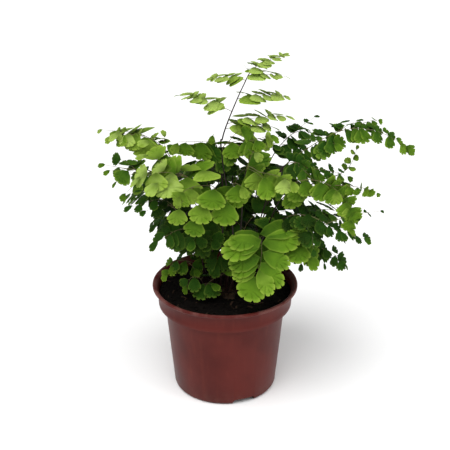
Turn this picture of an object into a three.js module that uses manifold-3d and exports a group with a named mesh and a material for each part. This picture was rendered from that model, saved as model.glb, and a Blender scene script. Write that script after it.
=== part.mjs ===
// A maidenhair fern growing in a round plastic nursery pot of 12 cm.
// Millimetres, +Z up. The origin is the middle of the pot's underside, and -Y is the front.

import * as THREE from 'three';
import { mergeVertices } from 'three/addons/utils/BufferGeometryUtils.js';
import Module from 'manifold-3d';

const wasm = await Module();
wasm.setup();

// ---- Driving dimensions -------------------------------------------------------------------

const POT_HEIGHT = 93;
const LIP_RADIUS = 60;
const LIP_HEIGHT = 2.4;
const LIP_WIDTH = 2.6;
const LIP_EDGE_WIDTH = 0.8;
const LIP_EDGE_HEIGHT = 0.7;
const LIP_INNER_EDGE_WIDTH = 0.7;
const LIP_INNER_EDGE_HEIGHT = 0.9;
const FLARE_HEIGHT = 6;
const COLLAR_HEIGHT = 18;
const COLLAR_TOP_RADIUS = 56;
const COLLAR_FOOT_RADIUS = 55;
const BODY_TOP_RADIUS = 49.8;
const BASE_RADIUS = 42.6;
const BASE_ROUNDING = 3;
const WALL = 1.2;
const POT_SIDES = 36;

const CHANNEL_COUNT = 3;
const CHANNEL_FIRST_ANGLE = THREE.MathUtils.degToRad(-68);
const CHANNEL_WIDTH = 19;
const CHANNEL_HEIGHT = 4.5;
const CHANNEL_START = 15;
const CHANNEL_DRAFT = 0.6;
const CHANNEL_CORNER_WIDTH = 2;
const CHANNEL_CORNER_HEIGHT = 1.6;
const DRAIN_HOLE_RADIUS = 4.5;
const DRAIN_HOLE_PLACE = 27;
const DRAIN_HOLE_SIDES = 20;

const SEAT_GAP = 0.3;
const SOIL_TOP = 86;
const SOIL_DOME = 1.2;
const SOIL_INSET = 0.4;
const RHIZOME_TOP = 90;
const RHIZOME_BOTTOM = 80;
const RHIZOME_RADIUS = 24;
const RHIZOME_SQUASH = 0.85;
const RHIZOME_SIDES = 24;

const WIRE_SIDES = 3;
const STALK_RADIUS = 0.9;
const BRANCH_RADIUS = 0.6;
const BRANCH_BOW = 0.1;
const STALK_STEPS = 2;
const BRANCH_STEPS = 2;
const NECK_LENGTH = 1.3;
const NECK_RADIUS = 0.25;
const LEAFLET_THICKNESS = 0.56;
const LEAFLET_CROWN = 0.05;
const FIRST_SPREAD = THREE.MathUtils.degToRad(86);
const LAST_SPREAD = THREE.MathUtils.degToRad(38);
const LEAFLET_SHINGLE = THREE.MathUtils.degToRad(14);
const LEAFLET_SCATTER = THREE.MathUtils.degToRad(16);
const LEAFLET_CLEARANCE = 0.45;
const FIRST_LEAFLET = 0.24;
const FIRST_LEAFLET_SIZE = 1.08;
const LAST_LEAFLET_SIZE = 0.66;
const SIZE_SCATTER = 0.12;
const LAST_LEAFLET_SUNK = 0.3;
const SMALL_LEAFLET = 20;
const LONG_LEAFLET = 25;

// A leaflet that would touch another frond turns on its stalk, then stays smaller.
const LEAFLET_TRIES = [
  [0, 1], [24, 1], [-24, 1], [45, 0.95], [-45, 0.95], [0, 0.75], [35, 0.75], [-35, 0.75],
  [70, 0.8], [-70, 0.8], [15, 0.55], [-30, 0.55], [60, 0.55], [0, 0.4], [50, 0.35], [-50, 0.35],
];

// ---- The fronds ---------------------------------------------------------------------------
// Each frond names the foot of its stalk on the rhizome, the points its stalk passes through,
// the way its leaflets face, how far they hang, and the leaflets on the stalk's own end: from
// which point, how many, how long. Then its side branches: the point they leave from (2.5 is
// midway between the second point and the third, with the foot as 0), where they end, how many
// leaflets they carry, and how long they are.

const FRONDS = [
  {
    name: 'frond_front',
    foot: [3, -14],
    stalk: [
      [12, -18, 120], [21, -30, 144], [26, -42, 153], [28, -50, 147], [27, -54, 136],
      [24, -57, 127],
    ],
    face: [0, -0.5, 0.87],
    droop: -0.1,
    end: [3.1, 9, 30],
    branches: [],
  },
  {
    name: 'frond_front_right',
    foot: [9, -13],
    stalk: [[20, -23, 125], [30, -31, 143], [43, -34, 150], [56, -40, 147], [63, -43, 139]],
    face: [0.1, -0.5, 0.85],
    droop: 0.3,
    end: [2, 7, 22],
    branches: [],
  },
  {
    name: 'frond_front_left',
    foot: [-4, -9],
    stalk: [
      [-2, -22, 141], [-3, -34, 176], [-8, -46, 195], [-17, -52, 199], [-27, -55, 198],
      [-33, -57, 193],
    ],
    face: [-0.05, -0.85, 0.5],
    droop: 2,
    end: [2.9, 6, 15],
    branches: [
      [2.6, [-16, -56, 187], 1, 14], [2.4, [-21, -54, 174], 1, 13], [4.6, [-34, -60, 185], 1, 14],
      [2.7, [-9, -55, 198], 1, 16],
    ],
  },
  {
    name: 'frond_front_centre',
    foot: [1, -10],
    stalk: [[6, -26, 143], [4, -38, 182], [6, -46, 198], [12, -52, 199]],
    face: [0.05, -0.85, 0.5],
    droop: 2,
    end: [2.6, 4, 17],
    branches: [[2, [1, -50, 186], 1, 16]],
  },
  {
    name: 'frond_centre_right',
    foot: [6, -8],
    stalk: [
      [12, -18, 143], [14, -30, 187], [17, -38, 208], [26, -45, 207], [37, -49, 206],
      [48, -52, 203],
    ],
    face: [0.1, -0.8, 0.6],
    droop: 1.4,
    end: [2.8, 8, 17],
    branches: [
      [2.8, [21, -36, 220], 2, 16], [2.9, [27, -52, 206], 1, 16], [2.4, [16, -44, 199], 1, 9],
    ],
  },
  {
    name: 'frond_left_bright',
    foot: [-10, -4],
    stalk: [
      [-14, -10, 140], [-20, -18, 178], [-28, -26, 195], [-38, -32, 201], [-50, -36, 203],
      [-62, -38, 200],
    ],
    face: [-0.1, -0.6, 0.8],
    droop: 0.5,
    end: [2.6, 8, 19],
    branches: [
      [2.6, [-57, -26, 212], 4, 18], [2.5, [-17, -40, 204], 1, 17], [3.3, [-50, -44, 198], 3, 19],
    ],
  },
  {
    name: 'frond_top_tall',
    foot: [2, 4],
    stalk: [[-3, 3, 203], [-2, 5, 216], [3, 8, 231], [14, 10, 257], [23, 13, 271], [44, 16, 279]],
    face: [0, -0.12, 1],
    droop: 0.15,
    end: [4.9, 9, 8],
    branches: [
      [3.25, [-32, 2, 251], 6, 12], [3.6, [44, 14, 247], 6, 11], [4.25, [-8, 6, 264], 5, 9],
      [4.5, [45, 14, 263], 5, 9], [4.7, [16, 12, 271], 2, 4], [2.8, [46, 12, 231], 6, 12],
      [2.55, [34, 8, 224], 5, 13],
    ],
  },
  {
    name: 'frond_right_main',
    foot: [13, 2],
    stalk: [
      [30, -2, 149], [44, -4, 192], [66, -8, 214], [92, -12, 229], [116, -16, 229], [138, -19, 218],
    ],
    face: [0, -0.55, 0.85],
    droop: 0.5,
    end: [2.7, 16, 14],
    branches: [
      [3.3, [83, -18, 220], 4, 14], [3.8, [102, 2, 231], 3, 10], [4.2, [117, 0, 233], 4, 9],
    ],
  },
  {
    name: 'frond_left_upper',
    foot: [-9, 6],
    stalk: [
      [-22, 5, 135], [-33, 8, 174], [-46, 8, 204], [-59, 8, 215], [-72, 8, 220], [-95, 8, 222],
    ],
    face: [-0.1, -0.5, 0.85],
    droop: 0.6,
    end: [2.9, 9, 9],
    branches: [
      [2.7, [-58, -2, 215], 2, 19], [3.1, [-48, 10, 214], 2, 10], [3.9, [-81, 2, 221], 4, 16],
      [4.3, [-87, 4, 218], 3, 12], [3.4, [-64, 6, 218], 2, 9],
    ],
  },
  {
    name: 'frond_left_middle',
    foot: [-14, 2],
    stalk: [[-26, -2, 136], [-39, -6, 177], [-59, -8, 194], [-73, -10, 196], [-92, -12, 200]],
    face: [-0.1, -0.6, 0.8],
    droop: 0.35,
    end: [3.9, 3, 10],
    branches: [
      [3.4, [-74, -16, 196], 1, 11], [3.9, [-88, -16, 197], 2, 10], [3.2, [-83, -14, 187], 2, 11],
      [2.9, [-77, -14, 178], 3, 11], [2.9, [-67, -20, 191], 3, 7], [3.8, [-80, -8, 203], 1, 8],
    ],
  },
  {
    name: 'frond_left_low',
    foot: [-15, -5],
    stalk: [[-22, -12, 136], [-35, -20, 161], [-48, -26, 177], [-70, -30, 173]],
    face: [-0.2, -0.4, 0.85],
    droop: 0.3,
    end: [2.1, 9, 12],
    branches: [
      [2.5, [-60, -34, 171], 3, 11], [2.3, [-63, -24, 182], 4, 10], [2.2, [-50, -30, 165], 2, 9],
    ],
  },
  {
    name: 'frond_left_rim',
    foot: [-12, -10],
    stalk: [[-10, -16, 129], [-23, -26, 150], [-36, -34, 155], [-50, -40, 149]],
    face: [-0.1, -0.6, 0.8],
    droop: 0.5,
    end: [2, 6, 18],
    branches: [[1.8, [-24, -42, 150], 4, 15], [1.5, [-9, -38, 148], 3, 15]],
  },
  {
    name: 'frond_left_soil',
    foot: [-17, 0],
    stalk: [[-20, 0, 102], [-29, -2, 112], [-40, -4, 113], [-47, -8, 105]],
    face: [-0.2, -0.5, 0.8],
    droop: 0.5,
    end: [1.9, 8, 12],
    branches: [[2.3, [-25, -12, 111], 3, 11], [1.6, [-20, -4, 114], 3, 11]],
  },
  {
    name: 'frond_soil_front',
    foot: [-9, -14],
    stalk: [[-16, -17, 94], [-20, -19, 105], [-27, -21, 107], [-30, -22, 101]],
    face: [-0.1, -0.5, 0.85],
    droop: 0.4,
    end: [1.9, 4, 13],
    branches: [[1.5, [-11, -25, 103], 2, 14], [1.3, [-1, -22, 111], 3, 13]],
  },
  {
    name: 'frond_centre_left',
    foot: [-3, 8],
    stalk: [
      [-16, 8, 127], [-14, 6, 172], [-6, 0, 207], [-11, -3, 216], [-23, -5, 217], [-36, -8, 218],
    ],
    face: [-0.05, -0.8, 0.6],
    droop: 2,
    end: [3.1, 7, 17],
    branches: [[3, [-9, -2, 222], 3, 11]],
  },
  {
    name: 'frond_centre',
    foot: [5, -3],
    stalk: [
      [10, -4, 137], [1, -10, 183], [-2, -12, 213], [8, -13, 220], [21, -14, 221], [33, -14, 225],
    ],
    face: [0, -0.6, 0.8],
    droop: 1,
    end: [3, 9, 14],
    branches: [
      [3.6, [21, -20, 214], 1, 14], [4.4, [29, -8, 218], 2, 13], [3.5, [10, -10, 227], 1, 13],
    ],
  },
  {
    name: 'frond_right_back',
    foot: [8, 8],
    stalk: [[21, 16, 141], [35, 22, 187], [48, 26, 207], [60, 28, 214], [72, 30, 209]],
    face: [0.1, -0.3, 0.95],
    droop: 0.3,
    end: [2.6, 8, 12],
    branches: [
      [2.8, [62, 16, 202], 5, 12], [2.4, [36, 10, 210], 4, 12], [2.7, [71, 34, 223], 4, 8],
    ],
  },
  {
    name: 'frond_right_second',
    foot: [15, -4],
    stalk: [[29, -12, 158], [42, -18, 197], [53, -22, 206], [66, -26, 201], [88, -30, 193]],
    face: [0.15, -0.5, 0.8],
    droop: 0.4,
    end: [2.5, 10, 12],
    branches: [[3.8, [93, -22, 195], 4, 9], [2.9, [66, -34, 198], 3, 12]],
  },
  {
    name: 'frond_right_young',
    foot: [17, 1],
    stalk: [[40, 0, 153], [67, -6, 181], [88, -12, 192], [97, -14, 201], [101, -16, 214]],
    face: [0.2, -0.6, 0.75],
    droop: 0.1,
    end: [3, 7, 7],
    branches: [],
  },
  {
    name: 'frond_right_hanging',
    foot: [16, -8],
    stalk: [
      [34, -20, 153], [46, -32, 186], [60, -38, 198], [79, -42, 195], [93, -46, 181],
      [96, -48, 164],
    ],
    face: [0.1, -0.8, 0.6],
    droop: 1,
    end: [2.2, 12, 14],
    branches: [[4, [115, -34, 187], 6, 7]],
  },
  {
    name: 'frond_right_low',
    foot: [12, -12],
    stalk: [[29, -22, 141], [46, -34, 165], [65, -42, 170], [84, -48, 161], [104, -50, 155]],
    face: [0.15, -0.4, 0.9],
    droop: 0.3,
    end: [2.2, 10, 12],
    branches: [
      [3, [67, -52, 148], 4, 12], [3.6, [117, -40, 173], 4, 6], [2.7, [86, -50, 157], 3, 11],
    ],
  },
  {
    name: 'frond_right_lowest',
    foot: [18, -7],
    stalk: [[27, -12, 117], [48, -20, 135], [67, -26, 138], [83, -30, 134], [92, -32, 126]],
    face: [0.2, -0.5, 0.8],
    droop: 0.4,
    end: [2.2, 9, 12],
    branches: [[2.6, [59, -34, 127], 3, 11], [3.2, [76, -38, 129], 3, 10]],
  },
  {
    name: 'frond_inner_right',
    foot: [9, -2],
    stalk: [[20, -2, 132], [30, -4, 148], [44, -6, 158], [61, -6, 156]],
    face: [0.1, -0.4, 0.9],
    droop: 0.3,
    end: [1.8, 6, 20],
    branches: [],
  },
  {
    name: 'frond_inner_front',
    foot: [0, -4],
    stalk: [[1, -8, 125], [-9, -12, 152], [-15, -16, 148]],
    face: [-0.1, -0.5, 0.85],
    droop: 0.4,
    end: [1.3, 6, 20],
    branches: [[1.2, [-6, -16, 119], 4, 19]],
  },
  {
    name: 'frond_inner_left',
    foot: [-8, 1],
    stalk: [[-16, 2, 140], [-28, 4, 168], [-42, 8, 178], [-56, 10, 176]],
    face: [-0.1, -0.3, 0.9],
    droop: 0.3,
    end: [1.8, 6, 20],
    branches: [[2.2, [-28, -8, 178], 3, 19]],
  },
  {
    name: 'frond_inner_back',
    foot: [12, 6],
    stalk: [[20, 10, 150], [34, 14, 178], [52, 18, 184], [68, 20, 176]],
    face: [0.1, -0.1, 1],
    droop: 0.3,
    end: [1.8, 6, 20],
    branches: [[2.2, [38, 32, 180], 3, 19]],
  },
  {
    name: 'frond_inner_low_right',
    foot: [17, 7],
    stalk: [[27, 12, 118], [38, 16, 134], [52, 18, 138], [66, 18, 130]],
    face: [0.1, -0.4, 0.9],
    droop: 0.4,
    end: [1.6, 6, 20],
    branches: [[2.1, [42, -2, 120], 3, 19]],
  },
  {
    name: 'frond_inner_low_left',
    foot: [-12, 11],
    stalk: [[-18, 17, 116], [-25, 22, 134], [-36, 25, 140], [-48, 27, 132]],
    face: [-0.1, -0.4, 0.9],
    droop: 0.4,
    end: [1.6, 6, 20],
    branches: [[2.1, [-18, 12, 142], 3, 19]],
  },
  {
    name: 'frond_inner_centre',
    foot: [-1, 5],
    stalk: [[2, 9, 128], [6, 12, 152], [14, 14, 164], [26, 14, 164]],
    face: [0, -0.4, 0.9],
    droop: 0.4,
    end: [1.6, 6, 20],
    branches: [[2, [-8, 12, 160], 3, 19]],
  },
  {
    name: 'frond_inner_mid',
    foot: [4, 1],
    stalk: [[11, 1, 122], [17, -5, 146], [27, -9, 158], [40, -9, 154]],
    face: [0, -0.5, 0.85],
    droop: 0.4,
    end: [1.4, 5, 20],
    branches: [[1.8, [0, -12, 158], 2, 19]],
  },
  {
    name: 'frond_inner_high',
    foot: [6, 4],
    stalk: [[7, 6, 140], [8, 9, 176], [18, 10, 190], [34, 8, 190]],
    face: [0, -0.5, 0.85],
    droop: 0.4,
    end: [1.6, 5, 20],
    branches: [[2, [-16, 6, 186], 2, 18]],
  },
  {
    name: 'frond_back_top',
    foot: [2, 10],
    stalk: [[4, 18, 150], [8, 28, 186], [16, 38, 200], [26, 48, 200]],
    face: [0, 0.2, 1],
    droop: 0.4,
    end: [2.2, 6, 16],
    branches: [[2.4, [-8, 40, 196], 4, 15]],
  },
  {
    name: 'frond_back_left',
    foot: [-8, 11],
    stalk: [[-18, 24, 140], [-30, 42, 165], [-44, 60, 172], [-60, 76, 160]],
    face: [-0.2, 0.4, 0.9],
    droop: 0.4,
    end: [2, 7, 20],
    branches: [[2.3, [-58, 44, 172], 3, 17], [2.5, [-26, 70, 168], 3, 17]],
  },
  {
    name: 'frond_back_centre',
    foot: [-2, 15],
    stalk: [[-4, 26, 142], [-6, 44, 170], [-8, 64, 172], [-8, 84, 156]],
    face: [0, 0.5, 0.9],
    droop: 0.4,
    end: [2, 7, 20],
    branches: [[2.2, [-22, 56, 158], 3, 17], [2.5, [12, 72, 160], 3, 17]],
  },
  {
    name: 'frond_back_right',
    foot: [6, 14],
    stalk: [[14, 26, 142], [24, 44, 168], [36, 62, 172], [50, 78, 160]],
    face: [0.2, 0.4, 0.9],
    droop: 0.4,
    end: [2, 7, 20],
    branches: [[2.3, [50, 46, 172], 3, 17], [2.6, [26, 80, 158], 3, 17]],
  },
  {
    name: 'frond_back_far_left',
    foot: [-14, 8],
    stalk: [[-30, 16, 132], [-50, 28, 154], [-68, 40, 158], [-80, 50, 150]],
    face: [-0.4, 0.2, 0.9],
    droop: 0.4,
    end: [2, 6, 19],
    branches: [[2.3, [-72, 22, 158], 3, 16], [2.5, [-56, 54, 150], 3, 16]],
  },
  {
    name: 'frond_back_far_right',
    foot: [15, 9],
    stalk: [[32, 18, 136], [54, 32, 160], [76, 44, 162], [96, 54, 150]],
    face: [0.4, 0.2, 0.9],
    droop: 0.4,
    end: [2, 6, 19],
    branches: [[2.3, [82, 28, 164], 3, 16], [2.5, [64, 62, 152], 3, 16]],
  },
  {
    name: 'frond_back_low_left',
    foot: [-10, 14],
    stalk: [[-14, 30, 112], [-26, 48, 124], [-38, 64, 118], [-46, 76, 104]],
    face: [-0.2, 0.5, 0.8],
    droop: 0.4,
    end: [1.8, 6, 20],
    branches: [[2.2, [-50, 52, 118], 3, 17], [2.4, [-20, 68, 110], 3, 17]],
  },
  {
    name: 'frond_back_low_right',
    foot: [11, 13],
    stalk: [[18, 30, 112], [30, 46, 124], [42, 60, 118], [52, 72, 104]],
    face: [0.2, 0.5, 0.8],
    droop: 0.4,
    end: [1.8, 6, 20],
    branches: [[2.2, [54, 44, 120], 3, 17], [2.4, [26, 66, 110], 3, 17]],
  },
  {
    name: 'frond_back_low_centre',
    foot: [3, 17],
    stalk: [[4, 30, 112], [5, 46, 126], [6, 62, 122], [6, 76, 108]],
    face: [0, 0.5, 0.85],
    droop: 0.4,
    end: [1.6, 7, 20],
    branches: [[2, [-14, 50, 122], 3, 17], [2.2, [26, 54, 120], 3, 17]],
  },
  {
    name: 'frond_side_right',
    foot: [19, 4],
    stalk: [[40, 6, 130], [62, 12, 148], [84, 18, 150], [102, 24, 142]],
    face: [0.3, -0.1, 0.9],
    droop: 0.4,
    end: [2, 6, 17],
    branches: [[2.3, [82, 4, 152], 3, 15], [2.5, [74, 30, 144], 3, 15]],
  },
  {
    name: 'frond_side_left',
    foot: [-18, 5],
    stalk: [[-28, 10, 120], [-40, 16, 140], [-50, 22, 142], [-58, 28, 134]],
    face: [-0.4, 0, 0.9],
    droop: 0.4,
    end: [1.8, 5, 17],
    branches: [[2.3, [-54, 8, 142], 3, 15]],
  },
];

// ---- Colours ------------------------------------------------------------------------------

const MATERIALS = {
  pot: new THREE.MeshStandardMaterial({ color: '#652a24', roughness: 0.45, metalness: 0 }),
  soil: new THREE.MeshStandardMaterial({ color: '#15110d', roughness: 0.95, metalness: 0 }),
  rhizome: new THREE.MeshStandardMaterial({ color: '#3a2a1c', roughness: 0.9, metalness: 0 }),
  frond: new THREE.MeshStandardMaterial({
    color: '#6f9f35', roughness: 0.5, metalness: 0, side: THREE.DoubleSide,
  }),
};

// ---- Solids from geometries ---------------------------------------------------------------

function toSolid(geometry) {
  const bare = geometry.clone();
  bare.deleteAttribute('normal');
  bare.deleteAttribute('uv');
  const merged = mergeVertices(bare, 1e-4);
  return new wasm.Manifold(new wasm.Mesh({
    numProp: 3,
    vertProperties: new Float32Array(merged.attributes.position.array),
    triVerts: new Uint32Array(merged.index.array),
  }));
}

function toGeometry(solid) {
  const { vertProperties, triVerts } = solid.getMesh();
  const geometry = new THREE.BufferGeometry();
  geometry.setAttribute('position', new THREE.BufferAttribute(new Float32Array(vertProperties), 3));
  geometry.setIndex(new THREE.BufferAttribute(new Uint32Array(triVerts), 1));
  geometry.computeVertexNormals();
  return geometry;
}

function fromFaces(points, faces) {
  const geometry = new THREE.BufferGeometry().setFromPoints(points);
  geometry.setIndex(faces.flat());
  return toSolid(geometry);
}

// A profile of [radius, height] points, from the axis at the bottom, turned about Z.
function turned(profile, sides = POT_SIDES) {
  const points = profile.map(([radius, height]) => new THREE.Vector2(radius, height));
  return new THREE.LatheGeometry(points, sides).rotateX(Math.PI / 2);
}

function named(name, solid, material) {
  const mesh = new THREE.Mesh(toGeometry(solid), material);
  mesh.name = name;
  return mesh;
}

// ---- Pot ----------------------------------------------------------------------------------

const COLLAR_FOOT = POT_HEIGHT - COLLAR_HEIGHT;

function bodyRadius(height) {
  return BASE_RADIUS + (BODY_TOP_RADIUS - BASE_RADIUS) * (height / COLLAR_FOOT);
}

function potOutside() {
  const bevel = BASE_ROUNDING * (1 - Math.SQRT1_2);
  return toSolid(turned([
    [0, 0],
    [BASE_RADIUS - BASE_ROUNDING, 0],
    [BASE_RADIUS - bevel, bevel],
    [bodyRadius(BASE_ROUNDING), BASE_ROUNDING],
    [BODY_TOP_RADIUS, COLLAR_FOOT],
    [COLLAR_FOOT_RADIUS, COLLAR_FOOT],
    [COLLAR_TOP_RADIUS, POT_HEIGHT - FLARE_HEIGHT],
    [LIP_RADIUS, POT_HEIGHT - LIP_HEIGHT],
    [LIP_RADIUS, POT_HEIGHT - LIP_EDGE_HEIGHT],
    [LIP_RADIUS - LIP_EDGE_WIDTH, POT_HEIGHT],
    [0, POT_HEIGHT],
  ]));
}

function potInside(gap, top) {
  const wall = WALL + gap;
  const step = COLLAR_FOOT + wall;
  const profile = [
    [0, wall],
    [BASE_RADIUS - BASE_ROUNDING, wall],
    [bodyRadius(BASE_ROUNDING) - wall, BASE_ROUNDING + gap],
    [BODY_TOP_RADIUS - wall, step],
    [COLLAR_FOOT_RADIUS - wall, step],
  ];
  if (top > POT_HEIGHT) {
    profile.push([COLLAR_TOP_RADIUS - wall, POT_HEIGHT - FLARE_HEIGHT]);
    const lipInside = LIP_RADIUS - LIP_WIDTH;
    profile.push([lipInside - LIP_INNER_EDGE_WIDTH, POT_HEIGHT - LIP_INNER_EDGE_HEIGHT]);
    profile.push([lipInside, top]);
  } else {
    profile.push([COLLAR_TOP_RADIUS - wall - SOIL_INSET, top]);
  }
  profile.push([0, top + (top > POT_HEIGHT ? 0 : SOIL_DOME)]);
  return toSolid(turned(profile));
}

// A raised drain channel: an arch run out from near the middle of the base through its edge.
function channel(index, grow, reach) {
  const half = CHANNEL_WIDTH / 2 + grow;
  const top = CHANNEL_HEIGHT + grow;
  const arch = new THREE.Shape([
    new THREE.Vector2(-half, -1),
    new THREE.Vector2(half, -1),
    new THREE.Vector2(half - CHANNEL_DRAFT, top - CHANNEL_CORNER_HEIGHT),
    new THREE.Vector2(half - CHANNEL_DRAFT - CHANNEL_CORNER_WIDTH, top),
    new THREE.Vector2(-half + CHANNEL_DRAFT + CHANNEL_CORNER_WIDTH, top),
    new THREE.Vector2(-half + CHANNEL_DRAFT, top - CHANNEL_CORNER_HEIGHT),
  ]);
  const start = CHANNEL_START - grow;
  const run = new THREE.ExtrudeGeometry(arch, { depth: reach - start, bevelEnabled: false });
  run.translate(0, 0, start);
  run.rotateX(Math.PI / 2).rotateZ(Math.PI / 2);
  run.rotateZ(CHANNEL_FIRST_ANGLE + (index * 2 * Math.PI) / CHANNEL_COUNT);
  return toSolid(run);
}

function drainHole(index) {
  const hole = new THREE.CylinderGeometry(
    DRAIN_HOLE_RADIUS, DRAIN_HOLE_RADIUS, 2 * CHANNEL_HEIGHT, DRAIN_HOLE_SIDES,
  );
  hole.rotateX(Math.PI / 2).translate(DRAIN_HOLE_PLACE, 0, CHANNEL_HEIGHT);
  hole.rotateZ(CHANNEL_FIRST_ANGLE + (index * 2 * Math.PI) / CHANNEL_COUNT);
  return toSolid(hole);
}

function makePot() {
  const outside = potOutside();
  let pot = outside.subtract(potInside(0, POT_HEIGHT + 1));
  for (let i = 0; i < CHANNEL_COUNT; i += 1) {
    pot = pot.add(channel(i, WALL, BASE_RADIUS).intersect(outside));
  }
  for (let i = 0; i < CHANNEL_COUNT; i += 1) {
    pot = pot.subtract(channel(i, 0, BASE_RADIUS + 5)).subtract(drainHole(i));
  }
  return pot;
}

// ---- Rhizome and soil ---------------------------------------------------------------------

function rhizomeSolid(gap) {
  const radius = RHIZOME_RADIUS + gap;
  const top = RHIZOME_TOP + gap;
  const shape = turned([
    [0, RHIZOME_BOTTOM - gap],
    [0.6 * radius, RHIZOME_BOTTOM - gap],
    [0.92 * radius, RHIZOME_BOTTOM + 3],
    [radius, SOIL_TOP + 0.5],
    [0.96 * radius, top - 1],
    [0.86 * radius, top],
    [0, top],
  ], RHIZOME_SIDES);
  return toSolid(shape.scale(1, RHIZOME_SQUASH, 1));
}

function makeSoil() {
  let soil = potInside(SEAT_GAP, SOIL_TOP);
  for (let i = 0; i < CHANNEL_COUNT; i += 1) {
    soil = soil.subtract(channel(i, WALL + SEAT_GAP, BASE_RADIUS + 5));
  }
  return soil.subtract(rhizomeSolid(SEAT_GAP));
}

// ---- Fronds -------------------------------------------------------------------------------

const vector = ([x, y, z]) => new THREE.Vector3(x, y, z);

// An even scatter from -1 to 1 that is the same every time.
function scatter(seed) {
  return 2 * (((seed * seed * 7349 + seed * 9301 + 49297) % 233280) / 233280) - 1;
}

function wire(curve, radius) {
  const corners = [];
  for (let i = 0; i < WIRE_SIDES; i += 1) {
    const angle = (i * 2 * Math.PI) / WIRE_SIDES;
    corners.push(new THREE.Vector2(radius * Math.cos(angle), radius * Math.sin(angle)));
  }
  return toSolid(new THREE.ExtrudeGeometry(new THREE.Shape(corners), {
    extrudePath: curve, steps: curve.steps, bevelEnabled: false,
  }));
}

// A smooth curve walked in straight steps, so that what grows from it meets its wire.
class BentWire extends THREE.Curve {
  constructor(curve, steps) {
    super();
    this.curve = curve;
    this.steps = steps;
    this.nodes = curve.getPoints(steps);
  }

  getPoint(share) {
    const place = share * this.steps;
    const step = Math.min(Math.floor(place), this.steps - 1);
    return this.nodes[step].clone().lerp(this.nodes[step + 1], place - step);
  }

  getPointAt(share) {
    return this.getPoint(share);
  }

  getTangent(share) {
    return this.curve.getTangent(share);
  }

  getTangentAt(share) {
    return this.curve.getTangent(share);
  }
}

// The foot stands a little higher the more its stalk leans, so its edge stays off the rhizome.
function stalkCurve(frond) {
  const foot = vector([...frond.foot, RHIZOME_TOP + SEAT_GAP]);
  const first = vector(frond.stalk[0]);
  const lean = Math.hypot(first.x - foot.x, first.y - foot.y) / first.distanceTo(foot);
  foot.z += STALK_RADIUS * lean;
  const points = [foot, ...frond.stalk.map(vector)];
  const curve = new THREE.CatmullRomCurve3(points, false, 'catmullrom', 0.5);
  return new BentWire(curve, STALK_STEPS * frond.stalk.length);
}

function branchCurve(stalk, share, end) {
  const start = stalk.getPoint(share);
  const tip = vector(end);
  const middle = start.clone().add(tip).multiplyScalar(0.5);
  middle.z += BRANCH_BOW * start.distanceTo(tip);
  return new BentWire(new THREE.QuadraticBezierCurve3(start, middle, tip), BRANCH_STEPS);
}

// Leaflets stand on alternate sides of their branch, overlapping like shingles, and one ends it.
function leafletsAlong(frond, curve, from, count, size, seed) {
  const leaflets = [];
  for (let i = 0; i < count; i += 1) {
    const last = i === count - 1;
    const progress = count > 1 ? i / (count - 1) : 0;
    const share = last ? 1 : from + (1 - from) * progress;
    const tangent = curve.getTangent(share);
    const across = tangent.clone().cross(vector(frond.face)).normalize();
    const side = i % 2 === 0 ? 1 : -1;
    const lean = THREE.MathUtils.lerp(FIRST_SPREAD, LAST_SPREAD, progress);
    const spread = last ? 0 : side * (lean + LEAFLET_SCATTER * scatter(seed + 3 * i));
    const along = tangent.clone().multiplyScalar(Math.cos(spread));
    along.addScaledVector(across, Math.sin(spread));
    along.z -= frond.droop;
    along.normalize();
    const roll = -LEAFLET_SHINGLE * side + LEAFLET_SCATTER * scatter(seed + 3 * i + 1);
    const grown = THREE.MathUtils.lerp(FIRST_LEAFLET_SIZE, LAST_LEAFLET_SIZE, progress);
    leaflets.push({
      base: curve.getPoint(share),
      sunk: last ? LAST_LEAFLET_SUNK : 0,
      along,
      face: vector(frond.face).applyAxisAngle(along, roll),
      long: size > LONG_LEAFLET,
      size: size * grown * (1 + SIZE_SCATTER * scatter(seed + 3 * i + 2)),
    });
  }
  return leaflets;
}

// Where the leaflet's length, width and upper side point, turned on its stalk.
function leafletPlacer(leaflet, turn, scale) {
  const { base, along } = leaflet;
  const up = leaflet.face.clone().applyAxisAngle(along, THREE.MathUtils.degToRad(turn));
  const right = along.clone().cross(up).normalize();
  const normal = right.clone().cross(along);
  const size = leaflet.size * scale;
  return (x, y, lift) => base.clone()
    .addScaledVector(right, x * size)
    .addScaledVector(along, NECK_LENGTH + y * size)
    .addScaledVector(normal, lift);
}

const FAN = [[0.6, 0.5], [0.38, 0.84], [0, 0.95], [-0.38, 0.84], [-0.6, 0.5]];
const LONG_FAN = [[0.32, 0.5], [0.24, 0.86], [0, 0.95], [-0.24, 0.86], [-0.32, 0.5]];
const SMALL_FAN = [[0.58, 0.64], [0, 0.95], [-0.58, 0.64]];

function fanOutline(leaflet, size) {
  if (leaflet.long) return LONG_FAN;
  return size > SMALL_LEAFLET ? FAN : SMALL_FAN;
}

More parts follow.
